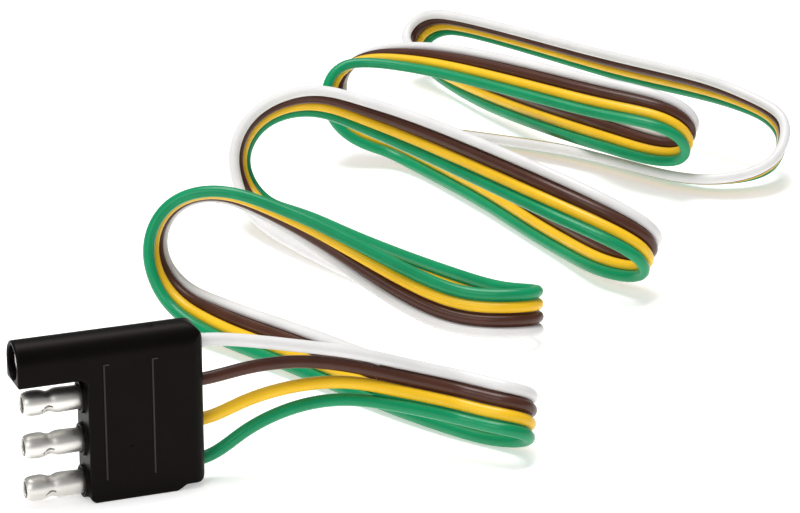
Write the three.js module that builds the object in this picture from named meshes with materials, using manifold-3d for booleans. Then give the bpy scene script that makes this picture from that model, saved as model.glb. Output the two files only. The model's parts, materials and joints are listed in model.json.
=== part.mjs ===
// Trailer-end four-way flat connector with its bonded four-wire ribbon.
// Units are millimetres and +Z is up. The connector stands on its narrow edge. +X runs from the
// mating end to the wire end, and Y is the thickness of the moulding.
import * as THREE from 'three';
import { mergeVertices } from 'three/addons/utils/BufferGeometryUtils.js';
import Module from 'manifold-3d';

const wasm = await Module();
wasm.setup();

// ---- driving dimensions -------------------------------------------------------------------
const GAP = 0.3;                      // clearance kept between touching pieces

const BODY = {
  front: -5.4,                        // face that the bullets stand out of
  rear: 20,                           // face that the wires leave
  mouth: -20,                         // open end of the shrouded socket barrel
  width: 9.3,
  height: 36.5,
  barrelFloor: 27.5,                  // underside of the socket barrel
  edge: 0.9,                          // rounding of the long edges
  corner: 3,                          // rounding of the wire end, seen from above
};
const PIN_PITCH = 9.43;
const FIRST_PIN_Z = 3.6;
const SOCKET_Z = FIRST_PIN_Z + 3 * PIN_PITCH;
const BULLET = { reach: 13, radius: 2.7, neck: 2.2, mouth: 1.8, bore: 1.95, boreDepth: 9 };
const COLLAR = { radius: 3.5, reach: 0.85 };   // rim of rubber round the foot of each bullet
const CRIMP = { radius: 1.6, bore: 1.05, start: -3.4, end: 7.6 };
const SOCKET = { start: -18.4, end: -3.4, radius: 3.3, bore: 2.95 };
const CARRIER = { start: -2, end: 8.4, halfWidth: 2.7, bottom: 0.9, top: 34.1 };
const CORE_RADIUS = 0.7;
const CORE_LENGTH = 6.1;
const CORE_START = 2.4;
const TAIL_LENGTH = 8;                // bare copper at the free end of each wire

const WIRE = { radius: 1.3, pitch: 3.0, sides: 8, start: 8.9 };
const BODY_ARC_STEPS = 16;
const ROUND_STEPS = 20;

// One row for each way: its colour name, its lane across the ribbon, and where its wire leaves.
const WAYS = [
  { name: 'green', lane: -1.5, exitZ: 4.6, color: 0x0f8c5c,
    lead: [[30.8, -0.5, 10.4], [41.7, -1.5, 14.1], [52.4, -3, 14.5]] },
  { name: 'yellow', lane: -0.5, exitZ: 13.5, color: 0xf0c030,
    lead: [[30.9, -0.5, 16.9], [41.7, -1.5, 18.7], [52.5, -3, 18.4]] },
  { name: 'brown', lane: 0.5, exitZ: 22.5, color: 0x5a3428,
    lead: [[31, -0.5, 24], [41.8, -1.5, 24.1], [52.5, -3, 22]] },
  { name: 'white', lane: 1.5, exitZ: 31.4, color: 0xe9e7e4,
    lead: [[31.1, -0.5, 29.8], [41.8, -1.5, 27.5], [52.5, -3, 25.2]] },
];

// ---- the ribbon's route -------------------------------------------------------------------
// at: a point on the ribbon's middle line, with the direction across it from green to white.
// fold: a round turn-back, given by its outermost point, the spacing of the two runs, how far the
// turn leans from level, its heading in plan, which way up the green edge is, and its downward pitch.
const at = (x, y, z, wx, wy, wz) => [{ p: [x, y, z], w: [wx, wy, wz] }];

function fold(x, y, z, spacing, lean, heading, side, pitch) {
  const [tilt, plan, down] = [lean, heading, pitch].map(THREE.MathUtils.degToRad);
  const left = new THREE.Vector3(-Math.sin(plan), Math.cos(plan), 0);
  const ahead = new THREE.Vector3(Math.cos(plan) * Math.cos(down), Math.sin(plan) * Math.cos(down),
    -Math.sin(down));
  const up = ahead.clone().cross(left);
  const across = left.clone().multiplyScalar(Math.cos(tilt)).addScaledVector(up, -Math.sin(tilt));
  const width = left.clone().multiplyScalar(Math.sin(tilt)).addScaledVector(up, Math.cos(tilt));
  const r = spacing / 2;
  return [-90, -45, 0, 45, 90].map((degrees) => {
    const a = THREE.MathUtils.degToRad(degrees);
    const p = new THREE.Vector3(x, y, z)
      .addScaledVector(ahead, r * (Math.cos(a) - 1))
      .addScaledVector(across, r * Math.sin(a));
    return { p: p.toArray(), w: width.clone().multiplyScalar(side).toArray() };
  });
}

const ROUTE = [
  at(65.5, -6, 16.5, 0.2, 0.4, 0.9),
  at(76.5, -8.5, 13.3, 0.2, 0.4, 0.9),
  fold(90.5, -15, 9.3, 13.5, 35, -30, 1, 0),
  at(77.5, 8, 5.8, 0.3, 0.4, 0.9),
  at(59, 53, 5.8, 0.5, 0.6, 0.6),
  at(48.5, 77, 6.2, 0.6, 0.6, 0.5),
  at(42, 89.5, 9.5, 0.7, 0.7, 0.1),
  at(39, 95, 18.5, 0.6, 0.7, -0.3),
  at(43.5, 96, 28.5, 0.4, 0.8, -0.4),
  at(53.5, 91, 32.5, 0.3, 0.8, -0.4),
  at(68, 81.5, 27, 0.1, 0.8, -0.6),
  at(99, 54, 9.5, -0.2, -0.2, -1),
  fold(121, 50, 7.7, 13.5, 14, -14, -1, 0),
  at(104.5, 80, 6.2, -0.2, -0.4, -0.9),
  at(91.5, 122, 6.2, -0.5, -0.7, -0.6),
  at(84.5, 156.5, 8.5, -0.6, -0.8, 0.1),
  at(82.5, 161, 17.5, -0.6, -0.7, 0.4),
  at(88.5, 162, 27.5, -0.5, -0.6, 0.6),
  at(100.5, 157, 32.5, -0.2, -0.6, 0.8),
  at(113, 139, 31, 0, -0.5, 0.9),
  at(137.5, 80, 24.8, 0.4, 0.3, 0.9),
  fold(158.5, 67.3, 10.5, 17, 46, -34, 1, 18),
  at(151, 107.5, 6, 0.5, 0.6, 0.7),
  at(148, 152, 6, 0.5, 0.6, 0.7),
  at(141, 192, 6.2, 0.6, 0.6, 0.5),
  at(126.5, 198.5, 12, 0.8, 0.6, 0.1),
  at(125.5, 204.5, 21, 0.8, 0.5, -0.2),
  at(132.5, 207.5, 27, 0.5, 0.9, -0.1),
  at(146, 197.5, 29.5, 0.3, 0.9, 0.4),
  at(181.5, 149, 26.8, 0.3, 0.5, 0.8),
  fold(203.5, 136.5, 15.5, 17.5, 50, -30, 1, 18),
  at(190.5, 163, 12.3, 0.35, 0.75, 0.56),
  at(183, 220, 8.5, 0.2, 0.4, 0.85),
  fold(178, 274.5, 13.5, 13.5, 225, 110, -1, 0),
  at(213, 208, 17.5, -0.2, -0.75, 0.65),
  at(229, 158, 19, -0.3, -0.75, 0.6),
  at(236, 146.5, 14.5, -0.3, -0.8, 0.6),
  at(226, 134, 6.8, -0.4, -0.8, 0.45),
  at(208.5, 136.5, 4.1, -0.3, -0.9, 0.3),
  at(184.5, 180, 3.2, -0.3, -0.92, 0.25),
  at(157.5, 211, 3, -0.3, -0.92, 0.25),
].flat();

const SPACING = 1;                    // distance between the samples of a smoothed line
const SPREAD = 3;                     // reach of the smoothing, in samples

function lineThrough(rows) {
  const points = rows.map((p) => new THREE.Vector3(...p));
  return new THREE.CatmullRomCurve3(points, false, 'centripetal');
}

// Even samples along a centripetal curve through the points, carrying the width directions.
function sampleRoute(route) {
  const curve = lineThrough(route.map((s) => s.p));
  curve.arcLengthDivisions = 4000;
  const count = Math.round(curve.getLength() / SPACING);
  const samples = [];
  for (let i = 0; i <= count; i++) {
    const t = curve.getUtoTmapping(i / count) * (route.length - 1);
    const k = Math.min(Math.floor(t), route.length - 2);
    const w = new THREE.Vector3(...route[k].w).normalize()
      .lerp(new THREE.Vector3(...route[k + 1].w).normalize(), t - k);
    samples.push({ p: curve.getPointAt(i / count), w });
  }
  return samples;
}

// Rolling average with a bell weight. The ends are continued by point reflection, so they stay put.
function smooth(points, spread) {
  const reach = 3 * spread;
  const last = points.length - 1;
  const get = (i) => {
    if (i < 0) return points[0].clone().multiplyScalar(2).sub(points[-i]);
    if (i > last) return points[last].clone().multiplyScalar(2).sub(points[2 * last - i]);
    return points[i];
  };
  return points.map((_, i) => {
    const sum = new THREE.Vector3();
    let total = 0;
    for (let k = -reach; k <= reach; k++) {
      const weight = Math.exp(-(k * k) / (2 * spread * spread));
      sum.addScaledVector(get(i + k), weight);
      total += weight;
    }
    return sum.divideScalar(total);
  });
}

function tangents(points) {
  return points.map((_, i) => {
    const before = points[Math.max(i - 1, 0)];
    const after = points[Math.min(i + 1, points.length - 1)];
    return after.clone().sub(before).normalize();
  });
}

const routeSamples = sampleRoute(ROUTE);
const middle = smooth(routeSamples.map((s) => s.p), SPREAD);
const middleTangents = tangents(middle);
const widths = smooth(routeSamples.map((s) => s.w), 2 * SPREAD)
  .map((w, i) => w.addScaledVector(middleTangents[i], -w.dot(middleTangents[i])).normalize());

// A wire is its own lead from the connector followed by its lane of the ribbon.
function wireLine(way) {
  const lane = middle.map((p, i) => p.clone().addScaledVector(widths[i], way.lane * WIRE.pitch));
  const leadPoints = [
    [WIRE.start, 0, way.exitZ], [BODY.rear - 5, 0, way.exitZ], [BODY.rear + 1.5, 0, way.exitZ],
    ...way.lead, lane[0].toArray(), lane[3].toArray(),
  ];
  const curve = lineThrough(leadPoints);
  const count = Math.round(curve.getLength() / SPACING);
  const lead = curve.getSpacedPoints(count);
  return smooth([...lead, ...lane.slice(4)], SPREAD);
}

// Stations sit close together in the bends and far apart on the straights.
const LONGEST_STEP = 58;              // a straight stretch's step
const SHARPEST_STEP = 42;             // the turning of one step, in degrees
const LEAD_STEPS = 6;                 // steps of a wire before it joins the ribbon

function stations(points, longest, sharpest) {
  const t = tangents(points);
  const cost = [0];
  for (let i = 1; i < points.length; i++) {
    cost.push(cost[i - 1] + points[i].distanceTo(points[i - 1]) / longest
      + t[i].angleTo(t[i - 1]) / THREE.MathUtils.degToRad(sharpest));
  }
  const count = Math.ceil(cost.at(-1));
  const chosen = [];
  for (let n = 0; n <= count; n++) {
    chosen.push(cost.findIndex((c) => c >= (n / count) * cost.at(-1) - 1e-9));
  }
  return chosen;
}

class StationCurve extends THREE.Curve {
  constructor(points, directions) {
    super();
    this.points = points;
    this.directions = directions;
  }
  getPointAt(u, target = new THREE.Vector3()) {
    return target.copy(this.points[Math.round(u * (this.points.length - 1))]);
  }
  getTangentAt(u, target = new THREE.Vector3()) {
    return target.copy(this.directions[Math.round(u * (this.points.length - 1))]);
  }
  getSpacedPoints(divisions) {
    return Array.from({ length: divisions + 1 }, (_, i) => this.getPointAt(i / divisions));
  }
}

const RIBBON_STATIONS = stations(middle, LONGEST_STEP, SHARPEST_STEP);

function wireTube(way) {
  const line = wireLine(way);
  const directions = tangents(line);
  const leadCount = line.length - middle.length;
  const exit = line.findIndex((p) => p.x > BODY.rear + 0.4);
  const chosen = [0];
  for (let i = 0; i < LEAD_STEPS; i++) {
    chosen.push(Math.round(exit + (i / LEAD_STEPS) * (leadCount - exit)));
  }
  RIBBON_STATIONS.forEach((i) => chosen.push(leadCount + i));
  const curve = new StationCurve(chosen.map((i) => line[i]), chosen.map((i) => directions[i]));
  const section = circle(WIRE.radius, WIRE.sides);
  return {
    geometry: new THREE.ExtrudeGeometry(section, { steps: chosen.length - 1, extrudePath: curve }),
    end: line.at(-1),
    heading: directions.at(-1),
  };
}

// ---- small shape helpers ------------------------------------------------------------------
function circle(radius, sides) {
  const shape = new THREE.Shape();
  for (let i = 0; i < sides; i++) {
    const a = (2 * Math.PI * (i + 0.5)) / sides;
    if (i === 0) shape.moveTo(radius * Math.cos(a), radius * Math.sin(a));
    else shape.lineTo(radius * Math.cos(a), radius * Math.sin(a));
  }
  return shape;
}

// A turned shape about the X axis from a closed profile of [x, radius] pairs.
function turned(profile, z, sides = ROUND_STEPS) {
  const points = profile.map(([x, r]) => new THREE.Vector2(r, x));
  return new THREE.LatheGeometry(points, sides).rotateZ(-Math.PI / 2).translate(0, 0, z);
}

function rod(radius, from, to, z, sides = ROUND_STEPS) {
  const length = to - from;
  return new THREE.CylinderGeometry(radius, radius, length, sides)
    .rotateZ(Math.PI / 2).translate(from + length / 2, 0, z);
}

function block(x0, x1, halfWidth, z0, z1) {
  return new THREE.BoxGeometry(x1 - x0, 2 * halfWidth, z1 - z0)
    .translate((x0 + x1) / 2, 0, (z0 + z1) / 2);
}

function solid(geometry) {
  const bare = geometry.clone();
  bare.deleteAttribute('normal');
  bare.deleteAttribute('uv');
  const merged = mergeVertices(bare, 1e-4);
  return new wasm.Manifold(new wasm.Mesh({
    numProp: 3,
    vertProperties: new Float32Array(merged.attributes.position.array),
    triVerts: new Uint32Array(merged.index.array),
  }));
}

function toGeometry(manifold) {
  const mesh = manifold.getMesh();
  const geometry = new THREE.BufferGeometry();
  geometry.setAttribute('position', new THREE.BufferAttribute(mesh.vertProperties, 3));
  geometry.setIndex(new THREE.BufferAttribute(mesh.triVerts, 1));
  geometry.computeVertexNormals();
  return geometry;
}

const cut = (base, tools) => tools.reduce((s, tool) => s.subtract(solid(tool)), base);

// ---- overmoulded body ---------------------------------------------------------------------
// The section across the connector: flat foot, straight sides and a full round top.
function sectionOutline() {
  const half = BODY.width / 2;
  const top = BODY.height - half;
  const e = BODY.edge;
  const shape = new THREE.Shape();
  shape.moveTo(-half + e, 0);
  shape.lineTo(half - e, 0);
  shape.absarc(half - e, e, e, -Math.PI / 2, 0, false);
  shape.lineTo(half, top);
  shape.absarc(0, top, half, 0, Math.PI, false);
  shape.lineTo(-half, e);
  shape.absarc(-half + e, e, e, Math.PI, 1.5 * Math.PI, false);
  return shape;
}

// The side view: the socket barrel stands out past the bullet face, and the wire end is rounded.
function sideOutline() {
  const { front, rear, mouth, height, barrelFloor } = BODY;
  const topRound = 4.5;
  const footRound = 1.8;
  const footLift = 1.2;               // the wire end of the foot steps up by this much
  const stepX = rear - 6.5;
  const chamfer = 0.8;
  const shape = new THREE.Shape();
  shape.moveTo(front + chamfer, 0);
  shape.lineTo(stepX, 0);
  shape.lineTo(stepX + 2, footLift);
  shape.lineTo(rear - footRound, footLift);
  shape.absarc(rear - footRound, footLift + footRound, footRound, -Math.PI / 2, 0, false);
  shape.lineTo(rear, height - topRound);
  shape.absarc(rear - topRound, height - topRound, topRound, 0, Math.PI / 2, false);
  shape.lineTo(mouth + 0.4, height);
  shape.lineTo(mouth, height - 0.4);
  shape.lineTo(mouth, barrelFloor);
  shape.lineTo(front - 1, barrelFloor);
  shape.lineTo(front, barrelFloor - 1);
  shape.lineTo(front, chamfer);
  return shape;
}

// The view from above: a plain strip whose wire end has round corners.
function planOutline() {
  const { mouth, rear, corner } = BODY;
  const half = BODY.width / 2;
  const shape = new THREE.Shape();
  shape.moveTo(mouth - 1, -half);
  shape.lineTo(rear - corner, -half);
  shape.absarc(rear - corner, -half + corner, corner, -Math.PI / 2, 0, false);
  shape.absarc(rear - corner, half - corner, corner, 0, Math.PI / 2, false);
  shape.lineTo(mouth - 1, half);
  return shape;
}

function bodySolid() {
  const length = BODY.rear - BODY.mouth;
  const across = new THREE.ExtrudeGeometry(sectionOutline(), {
    depth: length, bevelEnabled: false, curveSegments: BODY_ARC_STEPS,
  }).rotateX(Math.PI / 2).rotateZ(Math.PI / 2).translate(BODY.mouth, 0, 0);
  const side = new THREE.ExtrudeGeometry(sideOutline(), {
    depth: BODY.width + 2, bevelEnabled: false, curveSegments: BODY_ARC_STEPS / 2,
  }).rotateX(Math.PI / 2).translate(0, BODY.width / 2 + 1, 0);
  const plan = new THREE.ExtrudeGeometry(planOutline(), {
    depth: BODY.height + 2, bevelEnabled: false, curveSegments: BODY_ARC_STEPS / 2,
  }).translate(0, 0, -1);
  const collars = [];
  const hollows = [
    block(CARRIER.start - GAP, CARRIER.end + GAP, CARRIER.halfWidth + GAP,
      CARRIER.bottom - GAP, CARRIER.top + GAP),
    rod(SOCKET.radius + GAP, BODY.mouth - 1, CARRIER.start, SOCKET_Z),
  ];
  for (let i = 0; i < 3; i++) {
    const z = FIRST_PIN_Z + i * PIN_PITCH;
    collars.push(rod(COLLAR.radius, BODY.front - COLLAR.reach, BODY.front + 1, z));
    hollows.push(rod(BULLET.radius + GAP, BODY.front - COLLAR.reach - 1, CARRIER.start, z));
  }
  for (const way of WAYS) hollows.push(rod(WIRE.radius + GAP, CARRIER.end, BODY.rear + 1, way.exitZ, 16));
  const blank = solid(across).intersect(solid(side)).intersect(solid(plan));
  return cut(collars.reduce((s, collar) => s.add(solid(collar)), blank), hollows);
}

// ---- contacts and carrier -----------------------------------------------------------------
// A rolled bullet: turned-in nose, swelled head, waisted neck, plain shank, then the crimp tube.
function bulletProfile() {
  const tip = BODY.front - BULLET.reach;
  const shoulder = BODY.front + 1.8;
  const r = BULLET.radius;
  return [
    [tip, BULLET.mouth], [tip, r - 0.7], [tip + 0.7, r - 0.25], [tip + 1.8, r],
    [tip + 4, r], [tip + 5.2, BULLET.neck], [tip + 5.8, BULLET.neck], [tip + 7, r - 0.1],
    [shoulder, r - 0.1], [CRIMP.start, CRIMP.radius], [CRIMP.end, CRIMP.radius],
    [CRIMP.end, CRIMP.bore], [CORE_START - GAP, CRIMP.bore], [CORE_START - GAP, 0.5],
    [tip + BULLET.boreDepth, 0.5], [tip + BULLET.boreDepth, BULLET.bore],
    [tip + 0.7, BULLET.bore], [tip, BULLET.mouth],
  ];
}

function socketProfile() {
  const { start, end, radius, bore } = SOCKET;
  return [
    [start, bore + 0.1], [start, radius], [end, radius], [end + 1.2, CRIMP.radius],
    [CRIMP.end, CRIMP.radius], [CRIMP.end, CRIMP.bore], [CORE_START - GAP, CRIMP.bore],
    [CORE_START - GAP, 0.5], [end, 0.5], [end - 0.4, bore], [start + 0.4, bore],
    [start, bore + 0.1],
  ];
}

function carrierSolid() {
  const slots = [];
  for (let i = 0; i < 4; i++) {
    const z = FIRST_PIN_Z + i * PIN_PITCH;
    slots.push(rod(CRIMP.radius + GAP, CARRIER.start - 1, CARRIER.end + 1, z, 16));
  }
  const { start, end, halfWidth, bottom, top } = CARRIER;
  return cut(solid(block(start, end, halfWidth, bottom, top)), slots);
}

// A stripped end: a bare copper rod that carries on from the wire's own end.
function strippedTail(end, heading) {
  const length = TAIL_LENGTH;
  const turn = new THREE.Quaternion().setFromUnitVectors(new THREE.Vector3(0, 1, 0), heading);
  const middlePoint = end.clone().addScaledVector(heading, GAP + length / 2);
  return new THREE.CylinderGeometry(CORE_RADIUS, CORE_RADIUS, length, WIRE.sides)
    .applyQuaternion(turn).translate(...middlePoint.toArray());
}

// ---- assembly -----------------------------------------------------------------------------
const group = new THREE.Group();

function add(name, geometry, color, roughness, metalness = 0) {
  const material = new THREE.MeshStandardMaterial({ color, roughness, metalness });
  const mesh = new THREE.Mesh(geometry, material);
  mesh.name = name;
  group.add(mesh);
}

const RUBBER = 0x141213;
const NATURAL_NYLON = 0x3a3835;
const TIN = 0xcfcac2;
const COPPER = 0xb8693c;

add('overmould_body', toGeometry(bodySolid()), RUBBER, 0.55);
add('terminal_carrier', toGeometry(carrierSolid()), NATURAL_NYLON, 0.6);

WAYS.forEach((way, i) => {
  const z = FIRST_PIN_Z + i * PIN_PITCH;
  if (way.name === 'white') add('socket_contact_white', turned(socketProfile(), z), TIN, 0.3, 1);
  else add(`bullet_${way.name}`, turned(bulletProfile(), z), TIN, 0.3, 1);
  const core = rod(CORE_RADIUS, CORE_START, CORE_START + CORE_LENGTH, z, WIRE.sides);
  add(`copper_core_${way.name}`, core, COPPER, 0.35, 1);
});

for (const way of WAYS) {
  const tube = wireTube(way);
  add(`wire_${way.name}`, tube.geometry, way.color, 0.4);
  add(`stripped_tail_${way.name}`, strippedTail(tube.end, tube.heading), COPPER, 0.35, 1);
}

export default group;
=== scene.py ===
# %% [markdown]
# # Trailer wiring connector with its bonded four-wire ribbon
# The connector is one black rubber moulding. Three bare bullets and one shrouded socket come out
# of its mating end, and four wires leave its other end and close up into a flat ribbon.
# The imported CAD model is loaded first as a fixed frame, so that every piece made here goes where
# the frame says, in metres.

# %% Load the frame
import json
import math

import bmesh
import bpy
import numpy as np
from mathutils import Matrix, Vector

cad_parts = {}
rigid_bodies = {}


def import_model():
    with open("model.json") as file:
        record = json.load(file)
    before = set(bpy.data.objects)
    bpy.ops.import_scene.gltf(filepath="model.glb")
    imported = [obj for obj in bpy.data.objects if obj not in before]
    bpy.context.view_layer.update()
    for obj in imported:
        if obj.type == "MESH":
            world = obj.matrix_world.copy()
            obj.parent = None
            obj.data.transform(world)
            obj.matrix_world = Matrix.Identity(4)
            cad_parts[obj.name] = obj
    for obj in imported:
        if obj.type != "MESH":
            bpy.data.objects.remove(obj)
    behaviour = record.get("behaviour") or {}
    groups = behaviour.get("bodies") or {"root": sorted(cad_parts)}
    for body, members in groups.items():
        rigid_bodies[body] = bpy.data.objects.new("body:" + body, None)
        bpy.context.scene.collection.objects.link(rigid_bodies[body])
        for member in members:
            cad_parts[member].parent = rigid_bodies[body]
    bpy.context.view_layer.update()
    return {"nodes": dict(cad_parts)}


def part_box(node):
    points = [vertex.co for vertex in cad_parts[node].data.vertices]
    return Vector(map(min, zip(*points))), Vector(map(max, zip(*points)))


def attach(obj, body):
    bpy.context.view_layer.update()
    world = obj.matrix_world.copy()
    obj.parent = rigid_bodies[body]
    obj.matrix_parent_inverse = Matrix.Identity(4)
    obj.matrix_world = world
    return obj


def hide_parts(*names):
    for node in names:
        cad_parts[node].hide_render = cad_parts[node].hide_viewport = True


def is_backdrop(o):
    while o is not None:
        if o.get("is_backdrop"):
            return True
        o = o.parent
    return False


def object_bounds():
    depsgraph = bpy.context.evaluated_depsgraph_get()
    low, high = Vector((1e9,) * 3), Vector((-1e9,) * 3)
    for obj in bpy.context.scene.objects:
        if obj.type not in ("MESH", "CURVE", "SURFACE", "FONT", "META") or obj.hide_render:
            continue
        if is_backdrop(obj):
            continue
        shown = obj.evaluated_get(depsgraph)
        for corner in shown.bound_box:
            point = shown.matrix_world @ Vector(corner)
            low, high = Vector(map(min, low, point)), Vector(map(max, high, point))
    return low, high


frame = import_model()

MM = 0.001
body_low, body_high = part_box("overmould_body")
print("connector", [round(v, 4) for v in body_high - body_low], "metres")

# %% [markdown]
# ## The camera
# A long lens from about 650 millimetres away keeps the connector's edges nearly parallel. The
# camera stands to the left of the connector and looks down a little, so it needs a place, a
# heading, a slope and a focal length, and no shift.

# %% Camera
CAMERA_PLACE = Vector((-0.16272, -0.57827, 0.25804))
CAMERA_DOWN = 19.0
CAMERA_HEADING = 21.5

camera_data = bpy.data.cameras.new("camera")
camera_data.sensor_width = 36.0
camera_data.lens = 139.5
camera_data.clip_start = 0.01
camera_data.clip_end = 20.0
camera = bpy.data.objects.new("camera", camera_data)
camera.location = CAMERA_PLACE
camera.rotation_euler = (math.radians(90 - CAMERA_DOWN), 0, math.radians(-CAMERA_HEADING))
bpy.context.scene.collection.objects.link(camera)
bpy.context.scene.camera = camera
print("camera", round(CAMERA_PLACE.length, 3), "metres from the connector")

# %% [markdown]
# ## The ribbon's route
# The wires are one flat ribbon, so a single middle line carries all four of them: each wire is a
# lane beside that line. The ribbon could be simulated, but its folds are too tight for cloth and
# would not stay where they are wanted. So the middle line is a list of given points, the same as
# in the CAD model, and each point also says which way the ribbon's width runs there, from the
# green wire to the white one. A tight turn-back is a half circle made by a formula.

# %% Route points, in millimetres
PITCH = 3.0
WIRE_RADIUS = 1.4
WIRE_START = 8.9
REAR = round(body_high.x / MM, 2)
WAYS = {
    "green": {"lane": -1.5, "exit": 4.6,
              "lead": [(30.8, -0.5, 10.4), (41.7, -1.5, 14.1), (52.4, -3, 14.5)]},
    "yellow": {"lane": -0.5, "exit": 13.5,
               "lead": [(30.9, -0.5, 16.9), (41.7, -1.5, 18.7), (52.5, -3, 18.4)]},
    "brown": {"lane": 0.5, "exit": 22.5,
              "lead": [(31, -0.5, 24), (41.8, -1.5, 24.1), (52.5, -3, 22)]},
    "white": {"lane": 1.5, "exit": 31.4,
              "lead": [(31.1, -0.5, 29.8), (41.8, -1.5, 27.5), (52.5, -3, 25.2)]},
}


def at(x, y, z, *width):
    return [((x, y, z), width)]


def fold(x, y, z, spacing, lean, heading, side, pitch):
    """A round turn-back: its outermost point, its two runs' gap, its lean, heading and pitch."""
    tilt, plan, down = math.radians(lean), math.radians(heading), math.radians(pitch)
    left = Vector((-math.sin(plan), math.cos(plan), 0))
    flat = math.cos(down)
    ahead = Vector((math.cos(plan) * flat, math.sin(plan) * flat, -math.sin(down)))
    up = ahead.cross(left)
    across = left * math.cos(tilt) - up * math.sin(tilt)
    width = (left * math.sin(tilt) + up * math.cos(tilt)) * side
    points = []
    for degrees in (-90, -45, 0, 45, 90):
        a = math.radians(degrees)
        out, over = spacing / 2 * (math.cos(a) - 1), spacing / 2 * math.sin(a)
        points.append((tuple(Vector((x, y, z)) + ahead * out + across * over), tuple(width)))
    return points


ROUTE = sum([
    at(65.5, -6, 16.5, 0.2, 0.4, 0.9),
    at(76.5, -8.5, 13.3, 0.2, 0.4, 0.9),
    fold(90.5, -15, 9.3, 13.5, 35, -30, 1, 0),
    at(77.5, 8, 5.8, 0.3, 0.4, 0.9),
    at(59, 53, 5.8, 0.5, 0.6, 0.6),
    at(48.5, 77, 6.2, 0.6, 0.6, 0.5),
    at(42, 89.5, 9.5, 0.7, 0.7, 0.1),
    at(39, 95, 18.5, 0.6, 0.7, -0.3),
    at(43.5, 96, 28.5, 0.4, 0.8, -0.4),
    at(53.5, 91, 32.5, 0.3, 0.8, -0.4),
    at(68, 81.5, 27, 0.1, 0.8, -0.6),
    at(99, 54, 9.5, -0.2, -0.2, -1),
    fold(121, 50, 7.7, 13.5, 14, -14, -1, 0),
    at(104.5, 80, 6.2, -0.2, -0.4, -0.9),
    at(91.5, 122, 6.2, -0.5, -0.7, -0.6),
    at(84.5, 156.5, 8.5, -0.6, -0.8, 0.1),
    at(82.5, 161, 17.5, -0.6, -0.7, 0.4),
    at(88.5, 162, 27.5, -0.5, -0.6, 0.6),
    at(100.5, 157, 32.5, -0.2, -0.6, 0.8),
    at(113, 139, 31, 0, -0.5, 0.9),
    at(137.5, 80, 24.8, 0.4, 0.3, 0.9),
    fold(158.5, 67.3, 10.5, 17, 46, -34, 1, 18),
    at(151, 107.5, 6, 0.5, 0.6, 0.7),
    at(148, 152, 6, 0.5, 0.6, 0.7),
    at(141, 192, 6.2, 0.6, 0.6, 0.5),
    at(126.5, 198.5, 12, 0.8, 0.6, 0.1),
    at(125.5, 204.5, 21, 0.8, 0.5, -0.2),
    at(132.5, 207.5, 27, 0.5, 0.9, -0.1),
    at(146, 197.5, 29.5, 0.3, 0.9, 0.4),
    at(181.5, 149, 26.8, 0.3, 0.5, 0.8),
    fold(203.5, 136.5, 15.5, 17.5, 50, -30, 1, 18),
    at(190.5, 163, 12.3, 0.35, 0.75, 0.56),
    at(183, 220, 8.5, 0.2, 0.4, 0.85),
    fold(178, 274.5, 13.5, 13.5, 225, 110, -1, 0),
    at(213, 208, 17.5, -0.2, -0.75, 0.65),
    at(229, 158, 19, -0.3, -0.75, 0.6),
    at(236, 146.5, 14.5, -0.3, -0.8, 0.6),
    at(226, 134, 6.8, -0.4, -0.8, 0.45),
    at(208.5, 136.5, 4.1, -0.3, -0.9, 0.3),
    at(184.5, 180, 3.2, -0.3, -0.92, 0.25),
    at(157.5, 211, 3, -0.3, -0.92, 0.25),
], [])
print(len(ROUTE), "points on the ribbon's middle line")

# %% [markdown]
# ## From points to lanes
# A centripetal Catmull-Rom curve goes through every point without overshooting. It is cut into
# samples one millimetre apart and softened with a rolling average, because a thick ribbon never
# changes its bend suddenly. Then the width directions are squared up to the line, and each wire
# is the middle line moved sideways by its lane.

# %% Lines and lanes
SPACING = 1.0
SPREAD = 3


def catmull_rom(points, steps=60):
    """Close samples of the curve through points, and each sample's place in the list."""
    p = np.asarray(points, float)
    p = np.vstack([2 * p[0] - p[1], p, 2 * p[-1] - p[-2]])
    line, place = [], []
    for i in range(len(p) - 3):
        p0, p1, p2, p3 = p[i:i + 4]
        t01, t12, t23 = (np.linalg.norm(b - a) ** 0.5 for a, b in ((p0, p1), (p1, p2), (p2, p3)))
        m1 = ((p1 - p0) / t01 - (p2 - p0) / (t01 + t12) + (p2 - p1) / t12) * t12
        m2 = ((p2 - p1) / t12 - (p3 - p1) / (t12 + t23) + (p3 - p2) / t23) * t12
        for t in np.arange(steps) / steps:
            line.append((2 * t**3 - 3 * t**2 + 1) * p1 + (t**3 - 2 * t**2 + t) * m1
                        + (3 * t**2 - 2 * t**3) * p2 + (t**3 - t**2) * m2)
            place.append(i + t)
    return np.array(line + [p[-2]]), np.array(place + [len(p) - 3.0])


def even(line, *others):
    """The line at even spacing, with the same resampling of whatever goes along with it."""
    run = np.concatenate([[0], np.cumsum(np.linalg.norm(np.diff(line, axis=0), axis=1))])
    marks = np.linspace(0, run[-1], round(run[-1] / SPACING) + 1)
    columns = [np.column_stack([np.interp(marks, run, c) for c in line.T])]
    return columns + [np.interp(marks, run, other) for other in others]


def smooth(points, spread):
    """Rolling average with a bell weight, continued past the ends so that they stay put."""
    reach = 3 * spread
    head = 2 * points[0] - points[reach:0:-1]
    tail = 2 * points[-1] - points[-2:-reach - 2:-1]
    longer = np.vstack([head, points, tail])
    weights = np.exp(-np.arange(-reach, reach + 1) ** 2 / (2 * spread**2))
    weights /= weights.sum()
    return np.column_stack([np.convolve(c, weights, "valid") for c in longer.T])


def headings(points):
    ahead = np.vstack([points[1:], points[-1:]]) - np.vstack([points[:1], points[:-1]])
    return ahead / np.linalg.norm(ahead, axis=1)[:, None]


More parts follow.
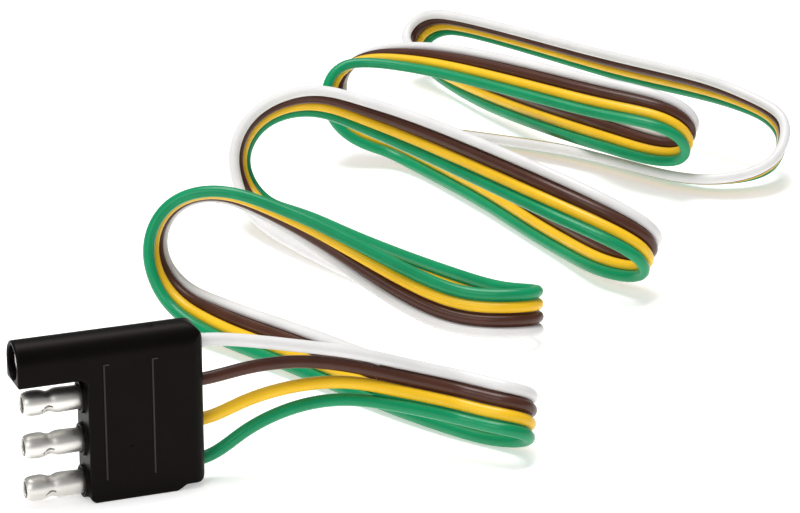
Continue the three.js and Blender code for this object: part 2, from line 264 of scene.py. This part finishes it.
sides = np.array([w for _, w in ROUTE], float)
sides /= np.linalg.norm(sides, axis=1)[:, None]
middle, place = even(*catmull_rom([p for p, _ in ROUTE]))
across = np.column_stack([np.interp(place, np.arange(len(ROUTE)), c) for c in sides.T])
middle, across = smooth(middle, SPREAD), smooth(across, 2 * SPREAD)
along = headings(middle)
across -= along * (across * along).sum(axis=1)[:, None]
across /= np.linalg.norm(across, axis=1)[:, None]


def wire_line(way):
    lane = middle + across * way["lane"] * PITCH
    start = [(x, 0, way["exit"]) for x in (WIRE_START, REAR - 5, REAR + 1.5)]
    lead, = even(catmull_rom([*start, *way["lead"], lane[0], lane[3]])[0])
    return smooth(np.vstack([lead, lane[4:]]), SPREAD)


lines = {name: wire_line(way) for name, way in WAYS.items()}

# %% [markdown]
# ## Materials: what is shared
# Every finish here is a Principled shader whose roughness and bump come from noise in Object
# coordinates, at the true size of the marks. One helper lays out what they share, and each finish
# then says its own numbers.

# %% Material helper
BUMP_DEPTH = 0.05 * MM


def finish(name, color, dark, roughness, grain, bump, metallic=0.0, stretch=(1, 1, 1), mottle=120):
    """A finish: colour and its darker mottle, the roughness range, the grain's scale and bump."""
    material = bpy.data.materials.new(name)
    material.use_nodes = True
    tree = material.node_tree
    shader = tree.nodes["Principled BSDF"]
    shader.inputs["Metallic"].default_value = metallic
    place_node = tree.nodes.new("ShaderNodeTexCoord")
    mapping = tree.nodes.new("ShaderNodeMapping")
    mapping.inputs["Scale"].default_value = stretch
    tree.links.new(place_node.outputs["Object"], mapping.inputs["Vector"])

    def noise(scale, detail):
        node = tree.nodes.new("ShaderNodeTexNoise")
        node.inputs["Scale"].default_value = scale
        node.inputs["Detail"].default_value = detail
        tree.links.new(mapping.outputs["Vector"], node.inputs["Vector"])
        return node.outputs["Fac"]

    blotches, fine = noise(mottle, 3.0), noise(grain, 4.0)
    ramp = tree.nodes.new("ShaderNodeValToRGB")
    for stop, position, shade in zip(ramp.color_ramp.elements, (0.3, 0.7), (dark, color)):
        stop.position = position
        stop.color = (*shade, 1)
    tree.links.new(blotches, ramp.inputs["Fac"])
    tree.links.new(ramp.outputs["Color"], shader.inputs["Base Color"])
    spread = tree.nodes.new("ShaderNodeMapRange")
    spread.inputs["To Min"].default_value = roughness[0]
    spread.inputs["To Max"].default_value = roughness[1]
    tree.links.new(fine, spread.inputs["Value"])
    tree.links.new(spread.outputs["Result"], shader.inputs["Roughness"])
    relief = tree.nodes.new("ShaderNodeBump")
    relief.inputs["Strength"].default_value = bump
    relief.inputs["Distance"].default_value = BUMP_DEPTH
    tree.links.new(fine, relief.inputs["Height"])
    tree.links.new(relief.outputs["Normal"], shader.inputs["Normal"])
    return material, shader

# %% [markdown]
# ## Vinyl insulation
# Extruded vinyl is smooth and half glossy. Under a broad light it shows one soft streak along its
# top, and it is a little uneven where the die dragged it. Low roughness gives the streak, and a
# weak grain breaks it up.

# %% Insulation colours
VINYL = {
    "green": ((0.002, 0.29, 0.115), (0.001, 0.25, 0.095)),
    "yellow": ((0.94, 0.57, 0.02), (0.87, 0.51, 0.014)),
    "brown": ((0.080, 0.026, 0.015), (0.060, 0.019, 0.010)),
    "white": ((0.80, 0.79, 0.78), (0.74, 0.73, 0.73)),
}
vinyl = {}
for name, (light, dark) in VINYL.items():
    vinyl[name], shader = finish(f"vinyl_{name}", light, dark, (0.26, 0.36), 2600, 0.10)
    shader.inputs["Specular IOR Level"].default_value = 0.28
    shader.inputs["Coat Weight"].default_value = 0.06
    shader.inputs["Coat Roughness"].default_value = 0.2
    shader.inputs["Subsurface Weight"].default_value = 0.04
    shader.inputs["Subsurface Radius"].default_value = (0.001, 0.0008, 0.0006)
print(len(vinyl), "insulation colours")

# %% [markdown]
# ## Copper
# The conductors are many fine bare strands. Copper darkens unevenly in air, so its mottle is
# strong, and the strands themselves are real geometry.

# %% Copper finish
copper, _ = finish("bare_copper", (0.86, 0.42, 0.24), (0.55, 0.24, 0.13), (0.22, 0.42),
                   3000, 0.1, metallic=1.0, mottle=900)
print("finish:", copper.name)

# %% [markdown]
# ## The wires
# Each wire is a curve of one spline along its lane, with a round bevel for its insulation. A mesh
# tube would do as well, but a curve keeps its own centre line. The spline is a poly line with a
# point every millimetre, so that it lies exactly where the softened lane does.

# %% Wire curves
def tube(name, runs, radius, material, sides=4):
    """A curve object with one poly spline for each run of points, in millimetres."""
    data = bpy.data.curves.new(name, "CURVE")
    data.dimensions = "3D"
    data.bevel_depth = radius * MM
    data.bevel_resolution = sides
    data.use_fill_caps = True
    for run in runs:
        spline = data.splines.new("POLY")
        spline.points.add(len(run) - 1)
        spline.points.foreach_set("co", np.column_stack([run * MM, np.ones(len(run))]).ravel())
        spline.use_smooth = True
    data.materials.append(material)
    piece = bpy.data.objects.new(name, data)
    bpy.context.scene.collection.objects.link(piece)
    return piece


wires = {n: tube(f"insulated_wire_{n}", [lines[n]], WIRE_RADIUS, vinyl[n]) for n in WAYS}
print("wires:", sorted(wires))

# %% [markdown]
# ## The bonds between the wires
# Bonded flat wire is extruded as one ribbon: thin webs of vinyl join each wire to its neighbour,
# deep in the valley between them. Each web is a slim bead along the line halfway between two
# lanes, from the place where the ribbon was split, which is a little before the lanes start.

# %% Bond webs
WEB_RADIUS = 0.38
BOND_LEAD = 8
names = list(WAYS)
webs = []
for one, other in zip(names, names[1:]):
    count = len(middle) + BOND_LEAD
    valley = (lines[one][-count:] + lines[other][-count:]) / 2
    shade = vinyl["brown"] if "brown" in (one, other) else vinyl[one]
    webs.append(tube(f"bond_web_{one}_{other}", [valley], WEB_RADIUS, shade, sides=2))
print("webs:", [w.name for w in webs])

# %% [markdown]
# ## The stripped ends
# At the far end each wire is cut and stripped, ready to be spliced. The conductor is a rope lay:
# one strand in the middle and six around it, each on a helix. A loop winds them, and one curve
# object holds all seven.

# %% Twisted strands
STRAND_RADIUS = 0.22
STRIP_LENGTH = 8.0
LAY_LENGTH = 9.0
OUTER_STRANDS = 6


def twisted_strands(name, end, ahead):
    side = Vector(ahead).cross(Vector((0, 0, 1))).normalized()
    over = Vector(ahead).cross(side)
    steps = np.linspace(-1.0, STRIP_LENGTH, 28)
    runs = [np.array([end + ahead * s for s in steps])]
    for k in range(OUTER_STRANDS):
        turn = 2 * math.pi * (k / OUTER_STRANDS + steps / LAY_LENGTH)
        ring = np.outer(np.cos(turn), side) + np.outer(np.sin(turn), over)
        runs.append(np.array([end + ahead * s for s in steps]) + 2 * STRAND_RADIUS * ring)
    return tube(name, runs, STRAND_RADIUS, copper, sides=2)


tails = {name: twisted_strands(f"bare_strands_{name}", line[-1], headings(line)[-1])
         for name, line in lines.items()}
for name in WAYS:
    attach(wires[name], "root")
    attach(tails[name], "root")
    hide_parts(f"wire_{name}")
    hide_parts(f"stripped_tail_{name}")
for web, name in zip(webs, ("green", "brown", "brown")):
    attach(web, "root")
print("stripped ends:", [tail.name for tail in tails.values()])

# %% [markdown]
# ## Moulded pieces: how they are finished
# Moulded rubber has no sharp edges at all. A bevel modifier struggles where bores meet rounded
# corners, so the moulding is made the other way: plain blocks are joined and cut with Boolean
# modifiers, then Remesh turns the result into an even skin and Smooth rounds every edge by about
# the same small amount. The pieces are built in millimetres, their stacks are applied, and the
# finished mesh is scaled into the frame.

# %% Mesh helpers
def new_piece(name, mesh, material=None):
    piece = bpy.data.objects.new(name, mesh)
    bpy.context.scene.collection.objects.link(piece)
    if material:
        mesh.materials.append(material)
    return piece


def prism(name, outline, low, high, axis):
    """A closed outline pushed from low to high along an axis."""
    order = {"X": lambda a, b, c: (c, a, b), "Y": lambda a, b, c: (a, c, b),
             "Z": lambda a, b, c: (a, b, c)}[axis]
    bm = bmesh.new()
    bottom = [bm.verts.new(order(a, b, low)) for a, b in outline]
    top = [bm.verts.new(order(a, b, high)) for a, b in outline]
    bm.faces.new(bottom)
    bm.faces.new(top)
    for i in range(len(outline)):
        j = (i + 1) % len(outline)
        bm.faces.new((bottom[i], bottom[j], top[j], top[i]))
    bmesh.ops.recalc_face_normals(bm, faces=bm.faces)
    mesh = bpy.data.meshes.new(name)
    bm.to_mesh(mesh)
    bm.free()
    return new_piece(name, mesh)


def arc(cx, cy, radius, start, end, steps=10):
    angles = np.radians(np.linspace(start, end, steps))
    return [(cx + radius * math.cos(a), cy + radius * math.sin(a)) for a in angles]


def rod(name, radius, low, high, y, z, steps=40):
    return prism(name, arc(y, z, radius, 0, 360 * (1 - 1 / steps), steps), low, high, "X")


def boolean(piece, other, operation):
    stack = piece.modifiers.new(other.name, "BOOLEAN")
    stack.operation = operation
    stack.solver = "EXACT"
    stack.object = other


def settle(piece, helpers=(), scale=MM):
    """Applies the piece's stack, removes the helpers it named, and scales it into the frame."""
    bpy.context.view_layer.update()
    graph = bpy.context.evaluated_depsgraph_get()
    mesh = bpy.data.meshes.new_from_object(piece.evaluated_get(graph))
    piece.modifiers.clear()
    piece.data = mesh
    mesh.transform(Matrix.Scale(scale, 4))
    mesh.shade_smooth()
    for helper in helpers:
        bpy.data.objects.remove(helper)
    return piece

# %% [markdown]
# ## Black rubber
# The moulding is a satin black thermoplastic rubber. Its surface carries a fine spark-eroded
# texture from the tool and slightly paler, browner patches where it has been handled, so the
# colour has a warm mottle and the highlights stay broad. The raised lines get a separate rubber,
# a little paler and glossier than the rest.

# %% Rubber finish
rubber, shader = finish("moulded_rubber", (0.0024, 0.0018, 0.0019), (0.0015, 0.0012, 0.0012),
                        (0.36, 0.48), 5200, 0.16, mottle=160)
shader.inputs["Specular IOR Level"].default_value = 0.08
shader.inputs["Specular Tint"].default_value = (1.0, 0.86, 0.80, 1)
# A paler, glossier rubber for the raised lines.
rib_rubber, shader = finish("paler_rib_rubber", (0.018, 0.014, 0.013), (0.008, 0.006, 0.006),
                        (0.30, 0.42), 5200, 0.10, mottle=900)
shader.inputs["Specular IOR Level"].default_value = 0.3
print("finishes:", rubber.name, rib_rubber.name)

# %% [markdown]
# ## The moulded body
# Seen end-on the moulding has straight sides and a full round top. Seen from the side, the socket
# barrel stands out over the bullets and the wire end has a large round corner. Seen from above,
# the wire end is rounded too. Three prisms with those outlines meet in the body. Collars around
# the bullets are added, and the bores are cut. A little nick marks the crown, where the mould
# was vented.

# %% Body outlines, in millimetres
FRONT, MOUTH = -5.4, round(body_low.x / MM, 2)
WIDTH = round((body_high.y - body_low.y) / MM, 2)
HEIGHT = round(body_high.z / MM, 2)
HALF = WIDTH / 2
BARREL_FLOOR = 27.5
FOOT_STEP_X, FOOT_LIFT = REAR - 6.5, 1.2
FIRST_PIN_Z, PIN_PITCH = 3.6, 9.43
PIN_HEIGHTS = [FIRST_PIN_Z + i * PIN_PITCH for i in range(3)]
SOCKET_Z = FIRST_PIN_Z + 3 * PIN_PITCH
COLLAR_RADIUS, COLLAR_REACH = 3.5, 0.85
BULLET_BORE, SOCKET_BORE, WIRE_CLEARANCE = 2.78, 3.6, 0.12
FOOT_ROUND, CROWN_ROUND, PLAN_ROUND = 1.8, 4.5, 3.0
FOOT_CHAMFER = 0.8
NICK_X, NICK_RADIUS = 9.2, 0.5

across_outline = [(-HALF, 0), (HALF, 0), *arc(0, HEIGHT - HALF, HALF, 0, 180, 48)]
side_outline = [
    (FRONT + FOOT_CHAMFER, 0), (FOOT_STEP_X, 0), (FOOT_STEP_X + 2, FOOT_LIFT),
    *arc(REAR - FOOT_ROUND, FOOT_LIFT + FOOT_ROUND, FOOT_ROUND, -90, 0),
    *arc(REAR - CROWN_ROUND, HEIGHT - CROWN_ROUND, CROWN_ROUND, 0, 90, 20),
    (MOUTH, HEIGHT), (MOUTH, BARREL_FLOOR), (FRONT - 1, BARREL_FLOOR),
    (FRONT, BARREL_FLOOR - 1), (FRONT, FOOT_CHAMFER),
]
plan_outline = [
    (MOUTH - 1, -HALF - 1), (REAR - 5, -HALF - 1), (REAR - 5, -HALF),
    *arc(REAR - PLAN_ROUND, -HALF + PLAN_ROUND, PLAN_ROUND, -90, 0, 14),
    *arc(REAR - PLAN_ROUND, HALF - PLAN_ROUND, PLAN_ROUND, 0, 90, 14),
    (REAR - 5, HALF), (REAR - 5, HALF + 1), (MOUTH - 1, HALF + 1),
]
print("outlines:", len(across_outline), len(side_outline), len(plan_outline), "points")

# %% Body mesh
body = prism("moulded_body", side_outline, -HALF - 1, HALF + 1, "Y")
helpers = [prism("section_block", across_outline, MOUTH - 1, REAR + 1, "X"),
           prism("plan_block", plan_outline, -1, HEIGHT + 1, "Z")]
for helper in helpers:
    boolean(body, helper, "INTERSECT")
for i, z in enumerate(PIN_HEIGHTS):
    collar = rod(f"collar_{i}", COLLAR_RADIUS, FRONT - COLLAR_REACH, FRONT + 1, 0, z)
    boolean(body, collar, "UNION")
    bore = rod(f"bore_{i}", BULLET_BORE, FRONT - 3, 1, 0, z)
    boolean(body, bore, "DIFFERENCE")
    helpers += [collar, bore]
socket_bore = rod("socket_bore", SOCKET_BORE, MOUTH - 2, -2, 0, SOCKET_Z)
boolean(body, socket_bore, "DIFFERENCE")
helpers.append(socket_bore)
for name, way in WAYS.items():
    hole_radius = WIRE_RADIUS + WIRE_CLEARANCE
    hole = rod(f"hole_{name}", hole_radius, WIRE_START + 1, REAR + 2, 0, way["exit"])
    boolean(body, hole, "DIFFERENCE")
    helpers.append(hole)
nick = prism("nick", arc(NICK_X, HEIGHT, NICK_RADIUS, 0, 345, 24), -1.3, 0.4, "Y")
boolean(body, nick, "DIFFERENCE")
helpers.append(nick)
skin = body.modifiers.new("even_skin", "REMESH")
skin.mode = "VOXEL"
skin.voxel_size = 0.26
soften = body.modifiers.new("soft_edges", "SMOOTH")
soften.factor = 0.5
soften.iterations = 3
settle(body, helpers)
body.data.materials.clear()
body.data.materials.append(rubber)
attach(body, "root")
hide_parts("overmould_body")
print("moulded body:", len(body.data.polygons), "faces")

# %% [markdown]
# ## Raised lines and marks on the moulding
# Two thin ribs run down the near side, each with a short tick at its top, where the tool's
# inserts meet. They are too fine for the body's skin, so they are slim bars of their own that
# stand about a sixth of a millimetre proud. A small gate mark is a low dome.

# %% Ribs and gate mark
RIB_WIDTH, RIB_PROUD, TICK_LENGTH = 0.34, 0.16, 1.3
RIBS = [(-2.1, 30.6, 5.0), (8.3, 30.6, 5.0)]     # place along X, top and bottom
GATE_PLACE, GATE_RADIUS = (3.6, -HALF, 11.5), 0.5


def bar(x0, x1, z0, z1):
    """A slim bar on the near side, from inside the skin to just proud of it."""
    return [(x0, z0), (x1, z0), (x1, z1), (x0, z1)], -HALF - RIB_PROUD, -HALF + 0.5


marks = []
for x, top, bottom in RIBS:
    for outline, low, high in (bar(x, x + RIB_WIDTH, bottom, top),
                               bar(x, x + TICK_LENGTH, top - RIB_WIDTH, top)):
        marks.append(prism("moulded_ribs", outline, low, high, "Y"))
ribs = marks[0]
for other in marks[1:]:
    boolean(ribs, other, "UNION")
soft = ribs.modifiers.new("rounded_edges", "BEVEL")
soft.width = 0.1
soft.segments = 3
settle(ribs, marks[1:])
ribs.name = "moulded_ribs"
ribs.data.materials.append(rib_rubber)

bm = bmesh.new()
bmesh.ops.create_uvsphere(bm, u_segments=24, v_segments=12, radius=GATE_RADIUS)
bmesh.ops.scale(bm, vec=(1, 0.35, 1), verts=bm.verts)
bmesh.ops.translate(bm, vec=GATE_PLACE, verts=bm.verts)
gate_mesh = bpy.data.meshes.new("gate_mark")
bm.to_mesh(gate_mesh)
bm.free()
gate = settle(new_piece("gate_mark", gate_mesh, rubber))
for piece in (ribs, gate):
    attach(piece, "root")
    print(piece.name, "has", len(piece.data.polygons), "faces")

# %% [markdown]
# ## Tin plate
# The contacts are rolled from brass sheet and plated with bright tin. Rolling leaves faint lines
# along the part, so the grain is stretched lengthwise, and the plating is soft enough to be
# slightly cloudy.

# %% Tin finish
tin, _ = finish("bright_tin", (0.86, 0.84, 0.80), (0.68, 0.66, 0.62), (0.36, 0.50),
                1500, 0.25, metallic=1.0, stretch=(0.12, 1, 1), mottle=420)
print("finish:", tin.name)

# %% [markdown]
# ## The bullets
# A bullet is a hollow, turned-looking shape: its nose is turned in to a small mouth, its head
# swells, a waist holds the mating spring, and a plain shank goes back into the rubber. Screw
# turns a half profile about the axis. The crescent slit in the waist, where the sheet is pushed
# in, is cut with a curved blade.

# %% Turned shapes
BULLET_REACH = 13
TIP = FRONT - BULLET_REACH


def turned(name, profile, material, z=0.0, steps=56):
    """A Screw shape about X from (distance along X, radius) pairs, given as one open run."""
    mesh = bpy.data.meshes.new(name)
    points = [(r, 0, -x) for x, r in profile]
    mesh.from_pydata(points, [(i, i + 1) for i in range(len(points) - 1)], [])
    piece = new_piece(name, mesh)
    screw = piece.modifiers.new("turned", "SCREW")
    screw.axis = "Z"
    screw.steps = screw.render_steps = steps
    screw.use_merge_vertices = True
    screw.merge_threshold = 0.001
    settle(piece, scale=1.0)
    piece.data.transform(Matrix.Translation((0, 0, z)) @ Matrix.Rotation(math.radians(-90), 4, "Y"))
    bm = bmesh.new()
    bm.from_mesh(piece.data)
    bmesh.ops.remove_doubles(bm, verts=bm.verts, dist=0.001)
    bmesh.ops.recalc_face_normals(bm, faces=bm.faces)
    bm.to_mesh(piece.data)
    bm.free()
    piece.data.materials.append(material)
    return piece


BULLET_PROFILE = [
    (2.0, 0), (2.0, 2.3), (TIP + 7.9, 2.66), (TIP + 7.0, 2.62), (TIP + 6.3, 2.42),
    (TIP + 5.8, 2.22), (TIP + 5.3, 2.18), (TIP + 4.8, 2.3), (TIP + 4.2, 2.56),
    (TIP + 3.4, 2.7), (TIP + 2.2, 2.7), (TIP + 1.3, 2.62), (TIP + 0.6, 2.42),
    (TIP + 0.15, 2.12), (TIP, 1.95), (TIP + 0.1, 1.82), (TIP + 0.5, 1.8), (TIP + 1.2, 1.95),
    (TIP + 9, 1.95), (TIP + 9.2, 0),
]


def crescent(name, x, z_axis, turn):
    """A curved blade that reaches into the waist from the near side, turned about the axis."""
    outer = arc(0.2, -1.3, 1.5, 50, 150, 14)
    inner = arc(0.2, -1.66, 1.5, 148, 52, 14)
    blade = prism(name, outer + inner, -3.4, -1.2, "Y")
    spin = Matrix.Rotation(math.radians(turn), 4, "X")
    blade.data.transform(Matrix.Translation((x, 0, z_axis)) @ spin)
    return blade


SLIT_X, SLIT_TURN = TIP + 5.0, 9      # its middle along X, and its turn in degrees
for name, z in zip(("green", "yellow", "brown"), PIN_HEIGHTS):
    bullet = turned(f"bullet_contact_{name}", BULLET_PROFILE, tin, z)
    blade = crescent(f"blade_{name}", SLIT_X, z, SLIT_TURN)
    boolean(bullet, blade, "DIFFERENCE")
    settle(bullet, [blade])
    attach(bullet, "root")
    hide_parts(f"bullet_{name}")
print("bullets at heights", PIN_HEIGHTS)

# %% [markdown]
# ## The socket
# The ground contact is a sleeve that the mating half's bullet slides into. It starts a little way
# inside the barrel, and its rounded end is the bright edge that shows in the dark mouth. Deeper
# inside, the sleeve takes a dark tin as painted shade, for the shadow inside the bore.

# %% Socket sleeve
SLEEVE_START = MOUTH + 1.4
UNSHADED_LENGTH = 1.6
SOCKET_PROFILE = [
    (-3.4, 0), (-3.4, 3.3), (SLEEVE_START + 0.6, 3.3), (SLEEVE_START + 0.2, 3.25),
    (SLEEVE_START, 3.1), (SLEEVE_START + 0.1, 2.9), (SLEEVE_START + 0.6, 2.8), (-4.4, 2.8),
    (-4.4, 0),
]
# Dark tin for the sleeve's inside past its mouth: painted shade inside the bore.
painted_bore_shade, _ = finish("bore_shade_tin", (0.10, 0.095, 0.088), (0.05, 0.046, 0.042), (0.30, 0.5),
                    1500, 0.25, metallic=1.0, mottle=600)
sleeve = settle(turned("socket_sleeve", SOCKET_PROFILE, tin, SOCKET_Z))
sleeve.data.materials.append(painted_bore_shade)
for face in sleeve.data.polygons:
    # Faces deeper than the unshaded length take the dark tin, painted shade inside the bore.
    face.material_index = int(face.center.x > (SLEEVE_START + UNSHADED_LENGTH) * MM)
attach(sleeve, "root")
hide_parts("socket_contact_white")
print("socket sleeve at height", SOCKET_Z)

# %% [markdown]
# ## Hidden pieces
# The carrier and the conductors inside the moulding never show, but they are part of the model,
# so they keep their CAD shapes and get true finishes: natural nylon and bare copper.

# %% Finishes for the hidden pieces
nylon, _ = finish("natural_nylon", (0.05, 0.047, 0.043), (0.035, 0.033, 0.03), (0.45, 0.6),
                  1800, 0.2)


def repaint(node, material):
    piece = frame["nodes"][node]
    piece.data.materials.clear()
    piece.data.materials.append(material)


repaint("terminal_carrier", nylon)
for name in WAYS:
    repaint(f"copper_core_{name}", copper)
print("finishes of the hidden pieces:", nylon.name, copper.name)

# %% [markdown]
# ## Floor and light
# The object lies on a plain white table, lit a little from within as product tables are, under
# broad, soft light. A lamp overhead draws the long streaks on the wires, a second one from the
# front left lights the bullets, and the pale surroundings fill the shadows. The plain display
# curve keeps the vinyl's colours full and the table white.

# %% Floor
FLOOR_REACH = 6.0
floor_mesh = bpy.data.meshes.new("floor")
corners = [(x * FLOOR_REACH, y * FLOOR_REACH, 0) for x, y in ((-1, -1), (1, -1), (1, 1), (-1, 1))]
floor_mesh.from_pydata(corners, [], [(0, 1, 2, 3)])
floor_material = bpy.data.materials.new("white_table")
floor_material.use_nodes = True
floor_shader = floor_material.node_tree.nodes["Principled BSDF"]
floor_shader.inputs["Base Color"].default_value = (0.93, 0.93, 0.93, 1)
floor_shader.inputs["Roughness"].default_value = 0.9
floor_shader.inputs["Emission Color"].default_value = (1, 1, 1, 1)
floor_shader.inputs["Emission Strength"].default_value = 0.42
floor = new_piece("floor", floor_mesh, floor_material)
floor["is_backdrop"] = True
print("floor", 2 * FLOOR_REACH, "metres across")

# %% Lights
def softbox(name, place, aim, size, power):
    data = bpy.data.lights.new(name, "AREA")
    data.shape = "RECTANGLE"
    data.size, data.size_y = size
    data.energy = power
    lamp = bpy.data.objects.new(name, data)
    lamp.location = place
    lamp.rotation_euler = (Vector(aim) - Vector(place)).to_track_quat("-Z", "Y").to_euler()
    bpy.context.scene.collection.objects.link(lamp)


middle_of_object = (0.1, 0.12, 0.01)
softbox("overhead", (0.05, 0.2, 1.1), middle_of_object, (0.8, 0.5), 11)
softbox("front_left", (-0.9, -0.7, 0.7), (0, 0, 0.02), (0.7, 0.7), 4.5)

world = bpy.data.worlds.new("white_room")
bpy.context.scene.world = world
world.use_nodes = True
background = world.node_tree.nodes["Background"]
background.inputs["Color"].default_value = (1, 1, 1, 1)
background.inputs["Strength"].default_value = 0.32
bpy.context.scene.view_settings.view_transform = "Standard"

# %% [markdown]
# ## The visual model's box
# The box around every visible piece but the floor is printed. It is meant to keep to the CAD
# model's box, to within a fraction of a millimetre.

# %% Sizes
low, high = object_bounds()
print("visual box", [round(v, 4) for v in low], [round(v, 4) for v in high])
